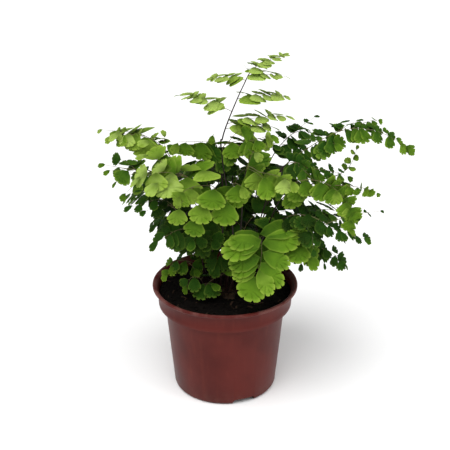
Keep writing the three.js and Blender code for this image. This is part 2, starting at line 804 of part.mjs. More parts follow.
// A fan, thick in the middle and thin at its margin, on a short three-sided neck.
function leafletSolid(leaflet, turn, scale) {
  const place = leafletPlacer(leaflet, turn, scale);
  const size = leaflet.size * scale;
  const crown = LEAFLET_CROWN * size;
  const half = LEAFLET_THICKNESS / 2;
  const foot = -(NECK_LENGTH + leaflet.sunk) / size;
  const corner = NECK_RADIUS / size;
  const neck = (y) => [
    place(0, y, NECK_RADIUS), place(corner, y, -NECK_RADIUS), place(-corner, y, -NECK_RADIUS),
  ];
  const rim = fanOutline(leaflet, size);
  const points = [
    ...neck(foot), ...neck(0),
    place(0, 0.5, crown + half), place(0, 0.5, crown - half),
    ...rim.map(([x, y]) => place(x, y, 0)),
  ];
  const [ridge, right, left, top, under, first] = [3, 4, 5, 6, 7, 8];
  const last = first + rim.length - 1;
  const faces = [
    [0, 2, 1],
    [ridge, right, first], [ridge, last, left],
    [top, ridge, first], [top, last, ridge],
    [under, first, right], [under, right, left], [under, left, last],
  ];
  for (let i = 0; i < 3; i += 1) {
    const next = (i + 1) % 3;
    faces.push([i, next, next + 3], [i, next + 3, i + 3]);
  }
  for (let i = first; i < last; i += 1) {
    faces.push([top, i, i + 1], [under, i + 1, i]);
  }
  return fromFaces(points, faces);
}

// The room a leaflet needs around it: its outline with a little more on every side.
function leafletRoom(leaflet, turn, scale) {
  const place = leafletPlacer(leaflet, turn, scale);
  const crown = LEAFLET_CROWN * leaflet.size * scale;
  const grow = 1 + (2 * LEAFLET_CLEARANCE) / (leaflet.size * scale);
  const outline = [[0.04, 0], ...fanOutline(leaflet, leaflet.size * scale), [-0.04, 0]];
  const high = outline.map(([x, y]) => place(x * grow, y * grow, crown + LEAFLET_CLEARANCE));
  const low = outline.map(([x, y]) => place(x * grow, y * grow, -LEAFLET_CLEARANCE));
  const count = outline.length;
  const faces = [];
  for (let i = 0; i < count; i += 1) {
    const next = (i + 1) % count;
    faces.push([i, count + i, count + next], [i, count + next, next]);
    if (i > 0 && i < count - 1) {
      faces.push([0, i, i + 1], [count, count + i + 1, count + i]);
    }
  }
  return fromFaces([...high, ...low], faces);
}

function withBox(solid) {
  const { min, max } = solid.boundingBox();
  return { solid, box: new THREE.Box3(vector(min), vector(max)) };
}

function isClear(room, others) {
  return others.every((other) => !room.box.intersectsBox(other.box)
    || room.solid.intersect(other.solid).isEmpty());
}

// The stalk and branches of one frond, with the leaflets that they will carry.
function frondFrame(frond, number) {
  const stalk = stalkCurve(frond);
  const spans = frond.stalk.length;
  const [from, count, size] = frond.end;
  const seed = 100 * (number + 1);
  const wires = [wire(stalk, STALK_RADIUS)];
  const leaflets = leafletsAlong(frond, stalk, from / spans, count, size, seed);
  frond.branches.forEach(([at, end, leafletCount, leafletSize], i) => {
    const branch = branchCurve(stalk, at / spans, end);
    wires.push(wire(branch, BRANCH_RADIUS));
    leaflets.push(...leafletsAlong(
      frond, branch, FIRST_LEAFLET, leafletCount, leafletSize, seed + 31 * (i + 1),
    ));
  });
  return { name: frond.name, wires, leaflets };
}

function makeFronds(fixed) {
  const frames = FRONDS.map(frondFrame);
  const wires = frames.map((frame) => frame.wires.map(withBox));
  const grown = [];
  return frames.map((frame, number) => {
    const crossed = wires.filter((_, i) => i !== number).flat();
    let body = frame.wires.reduce((joined, part) => joined.add(part));
    frame.leaflets.forEach((leaflet) => {
      const others = [...fixed, ...crossed, ...grown];
      const fit = LEAFLET_TRIES.find(
        ([turn, scale]) => isClear(withBox(leafletRoom(leaflet, turn, scale)), others),
      );
      if (!fit) return;
      const solid = leafletSolid(leaflet, fit[0], fit[1]);
      grown.push(withBox(solid));
      body = body.add(solid);
    });
    return named(frame.name, body, MATERIALS.frond);
  });
}

// ---- The whole plant ----------------------------------------------------------------------

const pot = makePot();
const soil = makeSoil();
const rhizome = rhizomeSolid(0);

const group = new THREE.Group();
group.add(named('pot', pot, MATERIALS.pot));
group.add(named('soil', soil, MATERIALS.soil));
group.add(named('rhizome', rhizome, MATERIALS.rhizome));
group.add(...makeFronds([withBox(pot), withBox(soil), withBox(rhizome)]));

export default group;
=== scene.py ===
import math
import random

import bpy
from mathutils import Matrix, Vector, noise


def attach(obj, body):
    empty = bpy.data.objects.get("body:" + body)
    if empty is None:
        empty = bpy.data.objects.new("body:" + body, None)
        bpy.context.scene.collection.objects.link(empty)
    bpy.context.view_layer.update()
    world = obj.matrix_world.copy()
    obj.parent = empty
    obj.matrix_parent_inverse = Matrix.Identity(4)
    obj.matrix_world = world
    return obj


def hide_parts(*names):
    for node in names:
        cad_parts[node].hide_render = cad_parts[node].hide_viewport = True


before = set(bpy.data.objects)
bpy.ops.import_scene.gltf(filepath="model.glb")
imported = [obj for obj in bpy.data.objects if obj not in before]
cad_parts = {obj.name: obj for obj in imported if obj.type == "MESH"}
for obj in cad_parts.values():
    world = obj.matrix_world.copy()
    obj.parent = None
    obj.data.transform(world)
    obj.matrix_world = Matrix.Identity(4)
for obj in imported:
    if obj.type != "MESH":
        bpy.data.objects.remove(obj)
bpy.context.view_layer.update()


# ---- Pot ----------------------------------------------------------------------------------
# A 12 cm nursery pot, injection moulded in red-brown polypropylene with a wall of 1.2 mm. It has
# a rolled lip, an upright stacking collar and a tapered body. Three raised drain channels run out
# across its base, and the soil and the plant stand in it.

MM = 0.001
POT_SIDES = 128
POT_WALL = 1.2

# The section of its wall, as radius and height: up the outside, round the lip, down the inside.
POT_RINGS = [
    (39.6, 0), (40.75, 0.23), (41.72, 0.88), (42.37, 1.85), (42.89, 3.2), (46.2, 37), (49.6, 73.2),
    (49.9, 74.6), (50.5, 75), (54.5, 75), (55.0, 75.25), (55.15, 75.8), (55.3, 78.4), (55.12, 78.8),
    (55.85, 87.4), (56.5, 88.9), (57.9, 89.9), (59.3, 90.3), (59.9, 90.9), (60, 91.8), (59.75, 92.6),
    (59.1, 93), (58.2, 92.95), (57.3, 92.4), (56.2, 91.2), (55.2, 89.6), (54.65, 87.2), (54.0, 78),
    (53.7, 76.4), (49.2, 76.2), (48.5, 75.4), (41.69, 3.4), (39.6, 1.2),
]
CHANNEL_ANGLES = (-68, 52, 172)
CHANNEL_START, CHANNEL_END = 15, 48
CHANNEL_WIDTH, CHANNEL_HEIGHT = 19, 4.5
CHANNEL_CORNER = 2.2
CHANNEL_CORNER_STEPS = 4
CHANNEL_CUT_FOOT = -2
ARCH_END, ARCH_FOOT = 40.4, 0.4
DRAIN_HOLE_PLACE, DRAIN_HOLE_RADIUS = 27, 4.5
DRAIN_HOLE_DEPTH, DRAIN_HOLE_SIDES = 8, 32


def deselect():
    if bpy.context.object and bpy.context.object.mode != "OBJECT":
        bpy.ops.object.mode_set(mode="OBJECT")
    bpy.ops.object.select_all(action="DESELECT")


def draw_up(name, rings, sides):
    """A disc at the first (radius, height) in millimetres, drawn through the others and closed."""
    deselect()
    radius, height = rings[0]
    bpy.ops.mesh.primitive_circle_add(
        vertices=sides, radius=radius * MM, fill_type="NGON", location=(0, 0, height * MM))
    shape = bpy.context.object
    shape.name = name
    bpy.ops.object.transform_apply()
    bpy.ops.object.mode_set(mode="EDIT")
    bpy.ops.mesh.select_mode(type="EDGE")
    for next_radius, next_height in rings[1:]:
        rise = (next_height - height) * MM
        growth = next_radius / radius
        bpy.ops.mesh.extrude_edges_move(TRANSFORM_OT_translate={"value": (0, 0, rise)})
        bpy.ops.transform.resize(
            value=(growth, growth, 1), center_override=(0, 0, next_height * MM))
        radius, height = next_radius, next_height
    bpy.ops.mesh.edge_face_add()
    bpy.ops.mesh.select_all(action="SELECT")
    bpy.ops.mesh.normals_make_consistent(inside=False)
    bpy.ops.object.mode_set(mode="OBJECT")
    return shape


def arch_bar(name, start, end, width, top, bottom, corner):
    """A bar along +X with its two upper long edges rounded, in millimetres."""
    deselect()
    bpy.ops.mesh.primitive_cube_add(
        size=1, location=((start + end) / 2 * MM, 0, (top + bottom) / 2 * MM),
        scale=((end - start) * MM, width * MM, (top - bottom) * MM))
    bar = bpy.context.object
    bar.name = name
    bpy.ops.object.transform_apply()
    for edge in bar.data.edges:
        ends = [bar.data.vertices[i].co for i in edge.vertices]
        high = min(end.z for end in ends) > (top - 0.1) * MM
        edge.select = high and abs(ends[0].y - ends[1].y) < MM
    bpy.ops.object.mode_set(mode="EDIT")
    bpy.ops.mesh.bevel(offset=corner * MM, segments=CHANNEL_CORNER_STEPS)
    bpy.ops.object.mode_set(mode="OBJECT")
    return bar


def own_copy(shape):
    copy = shape.copy()
    copy.data = shape.data.copy()
    bpy.context.scene.collection.objects.link(copy)
    return copy


def join(name, shapes):
    deselect()
    for shape in shapes:
        shape.select_set(True)
    bpy.context.view_layer.objects.active = shapes[0]
    if len(shapes) > 1:
        bpy.ops.object.join()
    shapes[0].name = name
    return shapes[0]


def round_the_base(shape):
    """One copy of a shape for each drain channel, turned about the pot's axis and joined."""
    name = shape.name
    copies = [own_copy(shape) for _ in CHANNEL_ANGLES]
    for copy, angle in zip(copies, CHANNEL_ANGLES):
        copy.data.transform(Matrix.Rotation(math.radians(angle), 4, "Z"))
    bpy.data.objects.remove(shape)
    return join(name, copies)


def boolean(shape, tool, operation):
    cut = shape.modifiers.new("cut", "BOOLEAN")
    cut.operation, cut.object, cut.solver = operation, tool, "MANIFOLD"
    deselect()
    shape.select_set(True)
    bpy.context.view_layer.objects.active = shape
    bpy.ops.object.modifier_apply(modifier=cut.name)
    bpy.data.objects.remove(tool)


def smooth(shape, angle):
    deselect()
    shape.select_set(True)
    bpy.context.view_layer.objects.active = shape
    bpy.ops.object.shade_smooth_by_angle(angle=angle)


class Value:
    """An output of a material's node, so that sums on it can be written as Python."""

    def __init__(self, finish, socket):
        self.finish = finish
        self.socket = socket

    def maths(self, operation, *terms):
        return self.finish.node("ShaderNodeMath", {"operation": operation}, dict(enumerate(terms)))

    def __add__(self, other):
        return self.maths("ADD", self, other)

    def __radd__(self, other):
        return self.maths("ADD", other, self)

    def __sub__(self, other):
        return self.maths("SUBTRACT", self, other)

    def __rsub__(self, other):
        return self.maths("SUBTRACT", other, self)

    def __mul__(self, other):
        return self.maths("MULTIPLY", self, other)

    def __rmul__(self, other):
        return self.maths("MULTIPLY", other, self)

    def __pow__(self, other):
        return self.maths("POWER", self, other)

    def band(self, low, high):
        """0 below low, 1 above high, and a smooth step between them."""
        return self.finish.node(
            "ShaderNodeMapRange", {"interpolation_type": "SMOOTHSTEP"},
            {"Value": self, "From Min": low, "From Max": high})


class Finish:
    """A material under construction."""

    def __init__(self, name):
        self.material = bpy.data.materials.new(name)
        self.material.use_nodes = True
        self.nodes = self.material.node_tree.nodes
        self.links = self.material.node_tree.links
        self.nodes.clear()

    def node(self, kind, settings=None, sockets=None, output=0):
        """Adds a node: its settings first, then the values or links of its sockets."""
        node = self.nodes.new(kind)
        for name, value in (settings or {}).items():
            setattr(node, name, value)
        for name, value in (sockets or {}).items():
            if isinstance(value, Value):
                self.links.new(value.socket, node.inputs[name])
            else:
                node.inputs[name].default_value = value
        return Value(self, node.outputs[output]) if node.outputs else None

    def place(self):
        return self.node("ShaderNodeTexCoord", output="Object")

    def noise(self, size, detail=3, roughness=0.5, stretch=(1, 1, 1)):
        """Noise whose features are about size millimetres across."""
        scaled = self.node(
            "ShaderNodeMapping", {}, {"Vector": self.place(), "Scale": stretch})
        return self.node(
            "ShaderNodeTexNoise", {},
            {"Vector": scaled, "Scale": 1 / (size * MM), "Detail": detail, "Roughness": roughness})

    def mix(self, factor, first, second):
        """A colour between two others. Sockets 6 and 7 of the node are its colours."""
        return self.node(
            "ShaderNodeMix", {"data_type": "RGBA"}, {0: factor, 6: first, 7: second}, output=2)

    def ramp(self, factor, stops):
        """A colour from a ramp. Its first and last stops are at 0 and 1."""
        colour = self.node("ShaderNodeValToRGB", {}, {"Fac": factor}, output="Color")
        elements = colour.socket.node.color_ramp.elements
        elements[0].color = stops[0][1]
        elements[1].color = stops[-1][1]
        for position, stop in stops[1:-1]:
            elements.new(position).color = stop
        return colour

    def attribute(self, name):
        return self.node("ShaderNodeAttribute", {"attribute_name": name}, output="Fac")

    def bump(self, height, depth):
        """A normal from a height of 0 to 1 that stands for a depth in millimetres."""
        return self.node(
            "ShaderNodeBump", {}, {"Height": height, "Strength": 1, "Distance": depth * MM})

    def surface(self, **sockets):
        named = {name.replace("_", " "): value for name, value in sockets.items()}
        return self.node("ShaderNodeBsdfPrincipled", {}, named)

    def done(self, shader):
        self.node("ShaderNodeOutputMaterial", {}, {"Surface": shader})
        return self.material


def finished(shape, node, material, edge_angle=None):
    """Gives a piece its material, and its place in the frame. With an edge angle, its shading is
    smooth over edges less sharp than that."""
    if edge_angle is not None:
        smooth(shape, edge_angle)
    shape.data.materials.clear()
    shape.data.materials.append(material)
    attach(shape, "root")
    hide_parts(node)


def pot_plastic():
    dark_red, light_red = (0.072, 0.0102, 0.0080, 1), (0.098, 0.0150, 0.0115, 1)
    flow_red, splash_brown = (0.200, 0.042, 0.022, 1), (0.130, 0.068, 0.050, 1)
    worn_lip = (0.190, 0.090, 0.078, 1)
    finish = Finish("pot_plastic")
    cloud = finish.noise(38, detail=4)
    speckle = finish.noise(1.1, detail=3, roughness=0.6)
    height = finish.node("ShaderNodeSeparateXYZ", {}, {0: finish.place()}, output="Z")
    spatter = finish.noise(7, detail=5, roughness=0.65).band(0.42, 0.7)
    splash = (1 - height.band(0.0, 0.016)) * spatter
    lip = height.band(0.0898, 0.0912) * finish.noise(9, detail=4).band(0.35, 0.65)
    flow = finish.noise(5, detail=4, stretch=(1, 1, 0.12))
    grain = finish.noise(0.55, detail=2)
    colour = finish.mix(cloud.band(0.35, 0.65), dark_red, light_red)
    colour = finish.mix(flow.band(0.5, 0.75) * 0.12, colour, flow_red)
    colour = finish.mix(splash * 0.3, colour, splash_brown)
    colour = finish.mix(lip * 0.45, colour, worn_lip)
    rough = 0.33 + 0.12 * cloud + 0.10 * splash + 0.1 * lip + 0.05 * speckle
    return finish.done(finish.surface(
        Base_Color=colour, Roughness=rough, Specular_IOR_Level=0.12,
        Normal=finish.bump(0.7 * grain + 0.3 * flow, 0.05)))


pot = draw_up("pot_body", POT_RINGS, POT_SIDES)
arches = round_the_base(arch_bar(
    "pot_arches", CHANNEL_START - POT_WALL, ARCH_END, CHANNEL_WIDTH + 2 * POT_WALL,
    CHANNEL_HEIGHT + POT_WALL, ARCH_FOOT, CHANNEL_CORNER + POT_WALL))
boolean(pot, arches, "UNION")
channels = round_the_base(arch_bar(
    "pot_channels", CHANNEL_START, CHANNEL_END, CHANNEL_WIDTH,
    CHANNEL_HEIGHT, CHANNEL_CUT_FOOT, CHANNEL_CORNER))
boolean(pot, channels, "DIFFERENCE")
deselect()
bpy.ops.mesh.primitive_cylinder_add(
    vertices=DRAIN_HOLE_SIDES, radius=DRAIN_HOLE_RADIUS * MM, depth=DRAIN_HOLE_DEPTH * MM,
    location=(DRAIN_HOLE_PLACE * MM, 0, CHANNEL_HEIGHT * MM))
drain_hole = bpy.context.object
bpy.ops.object.transform_apply()
boolean(pot, round_the_base(drain_hole), "DIFFERENCE")
finished(pot, "pot", pot_plastic(), edge_angle=math.radians(32))


# ---- Soil ---------------------------------------------------------------------------------
# Moist black peat compost that fills the pot to 7 mm below its lip. It was poured in loose, so
# its top is uneven, and crumbs of peat and shreds of bark and fibre lie on it.

SOIL_RIM = 53.9
SOIL_RIM_HEIGHT = 85.2
SOIL_TOP = 86
SOIL_DOME = 1.0
SOIL_STEP = 1.15
SOIL_SIDES = 120
SOIL_WALL = [(41.1, 3.6), (48.0, 75.8), (48.6, 76.7), (53.3, 76.9), (SOIL_RIM, SOIL_RIM_HEIGHT)]

# The height and width of its lumps, and where in the noise they are taken.
SOIL_LUMPS = [(0.75, 9, (0, 0, 0)), (0.5, 3.4, (5, 3, 1)), (0.28, 1.5, (0, 0, 0))]
RIM_LUMPS = 0.35
HOLLOW_DEPTH, HOLLOW_RADIUS, HOLLOW_SQUASH = 3.0, 21, 0.85
LAID_TILT = 0.35
SHRED_BOW = 0.1
draw = random.Random(12)


def soil_height(x, y):
    """The height of the soil's top at x, y, all in millimetres."""
    place = Vector((x, y, 0))
    dome = SOIL_DOME * (1 - min(1, math.hypot(x, y) / SOIL_RIM))
    lumps = sum(
        high * noise.noise(place / wide + Vector(shift)) for high, wide, shift in SOIL_LUMPS)
    hollow = HOLLOW_DEPTH * max(0, 1 - math.hypot(x, y / HOLLOW_SQUASH) / HOLLOW_RADIUS)
    return SOIL_TOP + dome + lumps - hollow


def peat():
    wet_black, dry_black = (0.0022, 0.0018, 0.0015, 1), (0.0065, 0.0048, 0.0038, 1)
    grit_brown = (0.040, 0.026, 0.017, 1)
    finish = Finish("peat")
    clods = finish.noise(4, detail=5, roughness=0.7)
    grit = finish.noise(0.8, detail=4, roughness=0.7)
    colour = finish.mix(clods.band(0.35, 0.7), wet_black, dry_black)
    colour = finish.mix(grit.band(0.58, 0.8) * 0.6, colour, grit_brown)
    return finish.done(finish.surface(
        Base_Color=colour, Roughness=0.78 + 0.2 * grit, Specular_IOR_Level=0.05,
        Normal=finish.bump(0.5 * clods + 0.5 * grit, 0.5)))


def bark():
    finish = Finish("bark_and_fibre")
    streak = finish.noise(1.6, detail=4, stretch=(1, 0.35, 1))
    colour = finish.mix(streak, (0.010, 0.005, 0.003, 1), (0.048, 0.025, 0.014, 1))
    return finish.done(finish.surface(
        Base_Color=colour, Roughness=0.75 + 0.15 * streak, Specular_IOR_Level=0.15,
        Normal=finish.bump(streak, 0.2)))


top_rings = [
    (SOIL_RIM - SOIL_STEP * i, SOIL_TOP) for i in range(1, int(SOIL_RIM / SOIL_STEP))]
soil = draw_up("soil_bed", SOIL_WALL + top_rings, SOIL_SIDES)
for vertex in soil.data.vertices:
    x, y = vertex.co.x / MM, vertex.co.y / MM
    if vertex.co.z > (SOIL_RIM_HEIGHT - 0.1) * MM:
        rise = soil_height(x, y) - SOIL_RIM_HEIGHT
        if math.hypot(x, y) > SOIL_RIM - 0.1:
            rise *= RIM_LUMPS
        vertex.co.z = (SOIL_RIM_HEIGHT + rise) * MM
PEAT = peat()
finished(soil, "soil", PEAT, edge_angle=math.radians(60))


def lay(blank, count, inner, outer, smallest, largest, stand):
    """Copies of a blank of unit size, scattered on the soil between two radii. They stand above
    it by a share of their size."""
    laid = []
    for _ in range(count):
        radius = math.sqrt(draw.uniform(inner ** 2, outer ** 2))
        angle = draw.uniform(0, math.tau)
        x, y = radius * math.cos(angle), radius * math.sin(angle)
        size = draw.uniform(smallest, largest)
        turn = Matrix.Rotation(draw.uniform(0, math.tau), 4, "Z")
        tilt = Matrix.Rotation(draw.uniform(-LAID_TILT, LAID_TILT), 4, "X")
        stretch = Matrix.Diagonal((draw.uniform(0.8, 1.3), draw.uniform(0.7, 1.1), 0.8, 1))
        place = Matrix.Translation(Vector((x, y, soil_height(x, y) + stand * size)) * MM)
        copy = own_copy(blank)
        copy.data.transform(place @ turn @ tilt @ stretch @ Matrix.Scale(size * MM, 4))
        laid.append(copy)
    bpy.data.objects.remove(blank)
    return laid


deselect()
bpy.ops.mesh.primitive_ico_sphere_add(subdivisions=1, radius=0.5)
crumb = bpy.context.object
for vertex in crumb.data.vertices:
    vertex.co *= draw.uniform(0.75, 1.15)
crumbs = join("soil_crumbs", lay(
    crumb, count=520, inner=14, outer=52.5, smallest=0.8, largest=2.9, stand=0.15))
finished(crumbs, "soil", PEAT, edge_angle=math.radians(50))

deselect()
bpy.ops.mesh.primitive_cube_add(size=1, scale=(1, 0.22, 0.12))
shred = bpy.context.object
bpy.ops.object.transform_apply()
bpy.ops.object.mode_set(mode="EDIT")
bpy.ops.mesh.subdivide(number_cuts=1)
bpy.ops.object.mode_set(mode="OBJECT")
for vertex in shred.data.vertices:
    vertex.co.z += SHRED_BOW * (1 - (2 * vertex.co.x) ** 2)
    vertex.co *= draw.uniform(0.9, 1.1)
shreds = join("soil_shreds", lay(
    shred, count=46, inner=22, outer=51, smallest=2.5, largest=6.5, stand=0.08))
finished(shreds, "soil", bark(), edge_angle=math.radians(40))


# ---- Rhizome ------------------------------------------------------------------------------
# The fern's creeping stem: a tight knot of short branches at the soil's surface, covered in dark
# brown papery scales. Every frond's stalk stands on it. It is alive and grew as one piece.

RHIZOME_RADIUS = 24
RHIZOME_SQUASH = 0.85
RHIZOME_TOP = 90

# Rings of knuckles: how far out, how many, and the height of their middles.
KNUCKLE_RINGS = [(0, 1, 85.6), (8.5, 6, 85.4), (16, 11, 84.6)]
KNUCKLE_LENGTHS, KNUCKLE_WIDTH, KNUCKLE_HEIGHTS = (6.0, 7.6), 4.6, (3.9, 4.5)
KNUCKLE_LUMPS = 0.16
SCALES = 330
SCALE_LENGTHS, SCALE_WIDTH, SCALE_FLATNESS = (2.2, 3.6), 1.3, 0.22
SCALE_FOOT = 88.4
SCALE_FOOT_DROP = 1.6
SCALE_REACH = 0.93


def rhizome_skin():
    dark_scale, light_scale = (0.008, 0.005, 0.003, 1), (0.035, 0.018, 0.009, 1)
    torn_edge = (0.075, 0.042, 0.022, 1)
    finish = Finish("rhizome_scales")
    patch = finish.noise(3.2, detail=4)
    streak = finish.noise(0.9, detail=3, stretch=(1, 1, 0.3))
    colour = finish.mix(patch.band(0.3, 0.7), dark_scale, light_scale)
    colour = finish.mix(streak.band(0.55, 0.8) * 0.5, colour, torn_edge)
    return finish.done(finish.surface(
        Base_Color=colour, Roughness=0.7 + 0.2 * streak, Specular_IOR_Level=0.15,
        Normal=finish.bump(0.6 * patch + 0.4 * streak, 0.4)))


deselect()
bpy.ops.mesh.primitive_uv_sphere_add(segments=20, ring_count=12, radius=1)
knuckle = bpy.context.object
for vertex in knuckle.data.vertices:
    vertex.co *= 1 + KNUCKLE_LUMPS * noise.noise(vertex.co * 1.8 + Vector((3, 1, 7)))
knot = []
for ring_radius, count, height in KNUCKLE_RINGS:
    for i in range(count):
        angle = math.tau * i / count + draw.uniform(-0.2, 0.2)
        x = ring_radius * math.cos(angle)
        y = ring_radius * math.sin(angle) * RHIZOME_SQUASH
        length = draw.uniform(*KNUCKLE_LENGTHS)
        copy = own_copy(knuckle)
        copy.data.transform(
            Matrix.Translation(Vector((x, y, height)) * MM)
            @ Matrix.Rotation(angle + draw.uniform(-0.5, 0.5), 4, "Z")
            @ Matrix.Diagonal(
                (length * MM, KNUCKLE_WIDTH * MM, draw.uniform(*KNUCKLE_HEIGHTS) * MM, 1)))
        knot.append(copy)
bpy.data.objects.remove(knuckle)

deselect()
bpy.ops.mesh.primitive_cone_add(vertices=4, radius1=0.5, depth=1, location=(0, 0, 0.5))
scale = bpy.context.object
bpy.ops.object.transform_apply()
scale.data.transform(Matrix.Diagonal((1, SCALE_FLATNESS, 1, 1)))
for _ in range(SCALES):
    share = math.sqrt(draw.uniform(0, 1)) * SCALE_REACH
    angle = draw.uniform(0, math.tau)
    x = share * RHIZOME_RADIUS * math.cos(angle) * SCALE_REACH
    y = share * RHIZOME_RADIUS * RHIZOME_SQUASH * math.sin(angle) * SCALE_REACH
    copy = own_copy(scale)
    copy.data.transform(
        Matrix.Translation(Vector((x, y, SCALE_FOOT - SCALE_FOOT_DROP * share)) * MM)
        @ Matrix.Rotation(angle + draw.uniform(-0.9, 0.9), 4, "Z")
        @ Matrix.Rotation(draw.uniform(0.2, 1.0), 4, "Y")
        @ Matrix.Rotation(math.pi / 2, 4, "Z")
        @ Matrix.Diagonal(
            (SCALE_WIDTH * MM, SCALE_WIDTH * MM, draw.uniform(*SCALE_LENGTHS) * MM, 1)))
    knot.append(copy)
bpy.data.objects.remove(scale)
rhizome = join("rhizome_knot", knot)
finished(rhizome, "rhizome", rhizome_skin(), edge_angle=math.radians(45))


# ---- Leaflets -----------------------------------------------------------------------------
# Thin fans of living leaf a quarter of a millimetre thick, each with a straight-sided wedge at
# its stalk and a margin of shallow lobes. They hang from hair-thin stalks of their own. Seven
# shapes grow on this plant, and each is modelled once, one unit long.

LEAFLET_THICKNESS = 0.018
FAN_CENTRE = Vector((0, 0.5, 0))
FAN_REACH = 0.97
FAN_CROWN_REACH = 0.6
LOBE_TIP = 1.02
SHOULDER_SHARE, SHOULDER_OUT = 0.4, 0.97
INNER_RING = 0.6
INNER_CREASE = 0.6
TIP_HANG = 0.16


def fan_rim(lobes, width, arc, cleft, points, narrowing=0.5):
    """The margin of a leaflet that hangs from the origin: an oval that runs to a wedge at its
    stalk, lobed over an arc on either side of its tip. Each point is x, y and whether it stands
    on a lobe (1) or in a cleft between two (-1)."""
    def at(angle, out, kind):
        y = FAN_REACH / 2 * (1 + math.cos(angle) * out)
        narrowed = 1 - narrowing * (1 - y / FAN_REACH) ** 2
        return math.sin(angle) * width / 2 * out * narrowed, y, kind

    arc, shoulder = math.radians(arc), math.radians(arc + SHOULDER_SHARE * (180 - arc))
    lobe_arc = 2 * arc / lobes
    shares = (0.16, 0.5, 0.84) if points == 3 else (0.22, 0.78)
    rim = [(0, 0, 0), at(shoulder, SHOULDER_OUT, 0)]
    for lobe in range(lobes):
        start = arc - lobe * lobe_arc
        for share in shares:
            rim.append(at(start - share * lobe_arc, LOBE_TIP if share == 0.5 else 1, 1))
        if lobe < lobes - 1:
            rim.append(at(start - lobe_arc, 1 - cleft, -1))
    return rim + [at(-shoulder, SHOULDER_OUT, 0)]


def fan_blank(name, rim, crown, crease):
    """A closed fan: two sheets that share their rim, bulging by crown, creased at its clefts."""
    deselect()
    bpy.ops.mesh.primitive_circle_add(vertices=len(rim), radius=0.5, fill_type="NGON")
    blank = bpy.context.object
    blank.name = name
    for vertex, (x, y, _) in zip(blank.data.vertices, rim):
        vertex.co = (x, y, 0)
    bpy.ops.object.mode_set(mode="EDIT")
    bpy.ops.mesh.select_mode(type="FACE")
    bpy.ops.mesh.inset(thickness=0)
    bpy.ops.transform.resize(value=(INNER_RING,) * 3, center_override=FAN_CENTRE)
    bpy.ops.mesh.poke()
    bpy.ops.mesh.select_all(action="SELECT")
    bpy.ops.mesh.duplicate()
    bpy.ops.mesh.flip_normals()
    bpy.ops.object.mode_set(mode="OBJECT")
    mesh = blank.data
    margin = mesh.attributes.new("margin", "FLOAT", "POINT")
    sheet = len(mesh.vertices) // 2
    for i, vertex in enumerate(mesh.vertices):
        ring, step = divmod(i % sheet, len(rim))
        at_rim = ring == 0
        x, y = vertex.co.x, vertex.co.y
        bulge = crown * (1 - (x / FAN_CROWN_REACH) ** 2) - TIP_HANG * y ** 2
        lobe = rim[step][2] * crease * (1 if at_rim else INNER_CREASE) if ring < 2 else 0
        half = 0 if at_rim else LEAFLET_THICKNESS / 2
        vertex.co.z = bulge + lobe + (half if i < sheet else -half)
        margin.data[i].value = 1 if at_rim else 0
    bpy.ops.object.mode_set(mode="EDIT")
    bpy.ops.mesh.select_all(action="SELECT")
    bpy.ops.mesh.remove_doubles(threshold=1e-5)
    bpy.ops.mesh.normals_make_consistent(inside=False)
    bpy.ops.object.mode_set(mode="OBJECT")
    under = mesh.attributes.new("under", "FLOAT", "FACE")
    for polygon in mesh.polygons:
        under.data[polygon.index].value = 1 if polygon.normal.z < 0 else 0
    fan_map = mesh.uv_layers.new(name="fan")
    for loop in mesh.loops:
        x, y, _ = mesh.vertices[loop.vertex_index].co
        fan_map.data[loop.index].uv = (0.5 + x, y)
    mesh.attributes.new("tone", "FLOAT", "POINT")
    smooth(blank, math.radians(70))
    return blank


# The lobes of a shape, its width, the degrees on each side of its tip that the lobes fill, the
# depth of its clefts, the points on a lobe, how it narrows, and last its bulge and its creases.
BROAD_FAN = fan_blank("fan_broad", fan_rim(6, 1.40, 98, 0.15, 3), 0.10, 0.034)
ROUND_FAN = fan_blank("fan_round", fan_rim(5, 1.24, 94, 0.16, 3), 0.08, 0.034)
KIDNEY_FAN = fan_blank("fan_kidney", fan_rim(7, 1.54, 104, 0.14, 3), 0.12, 0.032)
WEDGE_FAN = fan_blank("fan_wedge", fan_rim(3, 0.84, 78, 0.17, 3), 0.06, 0.030)
CUT_FAN = fan_blank("fan_cut", fan_rim(4, 0.96, 86, 0.32, 3, 0.6), 0.08, 0.030)
NOTCHED_FAN = fan_blank("fan_notched", fan_rim(5, 1.20, 92, 0.26, 2), 0.10, 0.030)
LONG_FAN = fan_blank("fan_long", fan_rim(6, 0.62, 104, 0.15, 3, 0.2), 0.10, 0.026)
YOUNG_FANS = [BROAD_FAN, ROUND_FAN, KIDNEY_FAN]
OLD_FANS = [WEDGE_FAN, CUT_FAN, NOTCHED_FAN]
MAIN_VEINS = 34
LIGHT_THROUGH = 0.28


